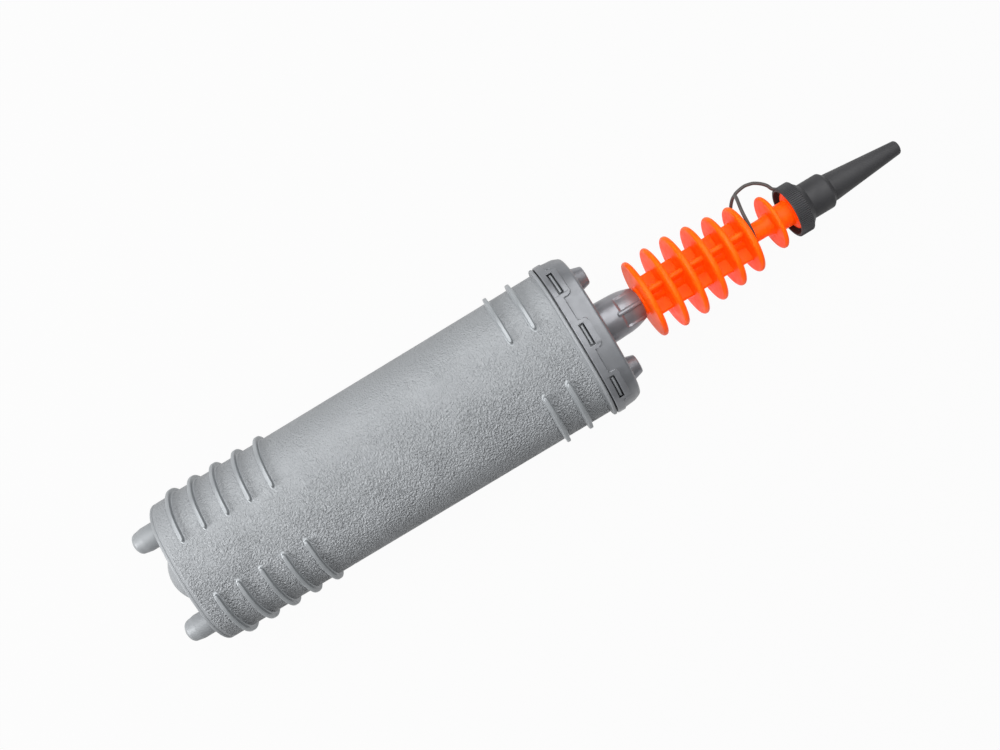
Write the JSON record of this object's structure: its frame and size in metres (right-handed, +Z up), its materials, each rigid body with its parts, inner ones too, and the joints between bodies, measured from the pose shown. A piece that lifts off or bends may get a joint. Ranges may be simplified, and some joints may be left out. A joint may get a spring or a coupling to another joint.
{
  "type": "double-action hand air pump",
  "caption": "Oval ribbed hand pump barrel with a flanged grip on a hollow rod, piston, intake valves and a tapered screw-on nozzle on a tether.",
  "frame": {"origin": "under the middle of the pump's length and width, on the surface the pump lies on", "axes": "+X along the axis from the barrel's closed end to the nozzle's tip, +Y across the broad side towards the tether, +Z up, out of the broad side"},
  "size_m": [0.4102, 0.0802, 0.0548],
  "materials": {
    "barrel_grey": "grained grey plastic with smooth ribs",
    "cap_grey": "satin darker grey plastic",
    "orange_plastic": "glossy, slightly translucent orange plastic",
    "nozzle_grey": "matte near-black plastic",
    "natural_plastic": "plain off-white plastic",
    "seal_rubber": "black rubber"
  },
  "bodies": {
    "barrel": {"barrel": "barrel_grey", "cap": "cap_grey", "cap_seal": "seal_rubber", "rod_guide": "cap_grey", "rod_bush": "natural_plastic", "rod_seal": "seal_rubber", "seal_washer": "natural_plastic", "base_valve_cages": "natural_plastic", "cap_valve_cages": "natural_plastic"},
    "rod": {"rod": "natural_plastic", "piston_rear_plate": "natural_plastic", "piston_front_plate": "natural_plastic", "piston_frame": "natural_plastic", "piston_spacer": "natural_plastic", "piston_seal": "seal_rubber", "piston_nut": "natural_plastic", "grip": "orange_plastic"},
    "gasket": {"nozzle_gasket": "seal_rubber"},
    "nozzle": {"nozzle": "nozzle_grey", "tether": "nozzle_grey"},
    "base_disc_left": {"base_valve_disc_left": "seal_rubber"},
    "base_disc_right": {"base_valve_disc_right": "seal_rubber"},
    "cap_disc_left": {"cap_valve_disc_left": "seal_rubber"},
    "cap_disc_right": {"cap_valve_disc_right": "seal_rubber"},
    "rear_flap": {"rear_delivery_flap": "seal_rubber"},
    "front_flap": {"front_delivery_flap": "seal_rubber"}
  },
  "joints": [
    {"name": "rod_slide", "type": "slide", "parent": "barrel", "child": "rod", "axis": [1, 0, 0], "range_m": [0, 0.19]},
    {"name": "nozzle_lift", "type": "slide", "parent": "rod", "child": "gasket", "axis": [1, 0, 0], "range_m": [0, 0.006]},
    {"name": "nozzle_turn", "type": "hinge", "parent": "gasket", "child": "nozzle", "pos_m": [0.1473, 0, 0.02739], "axis": [1, 0, 0], "range_deg": [0, 720]},
    {"name": "base_disc_left_lift", "type": "slide", "parent": "barrel", "child": "base_disc_left", "axis": [1, 0, 0], "range_m": [0, 0.0012]},
    {"name": "base_disc_right_lift", "type": "slide", "parent": "barrel", "child": "base_disc_right", "axis": [1, 0, 0], "range_m": [0, 0.0012]},
    {"name": "cap_disc_left_lift", "type": "slide", "parent": "barrel", "child": "cap_disc_left", "axis": [-1, 0, 0], "range_m": [0, 0.0012]},
    {"name": "cap_disc_right_lift", "type": "slide", "parent": "barrel", "child": "cap_disc_right", "axis": [-1, 0, 0], "range_m": [0, 0.0012]},
    {"name": "rear_flap_lift", "type": "slide", "parent": "rod", "child": "rear_flap", "axis": [1, 0, 0], "range_m": [0, 0.001]},
    {"name": "front_flap_lift", "type": "slide", "parent": "rod", "child": "front_flap", "axis": [-1, 0, 0], "range_m": [0, 0.001]}
  ],
  "couplings": [
    {"joint": "nozzle_lift", "follows": "nozzle_turn", "m_per_rad": 0.00047746}
  ]
}
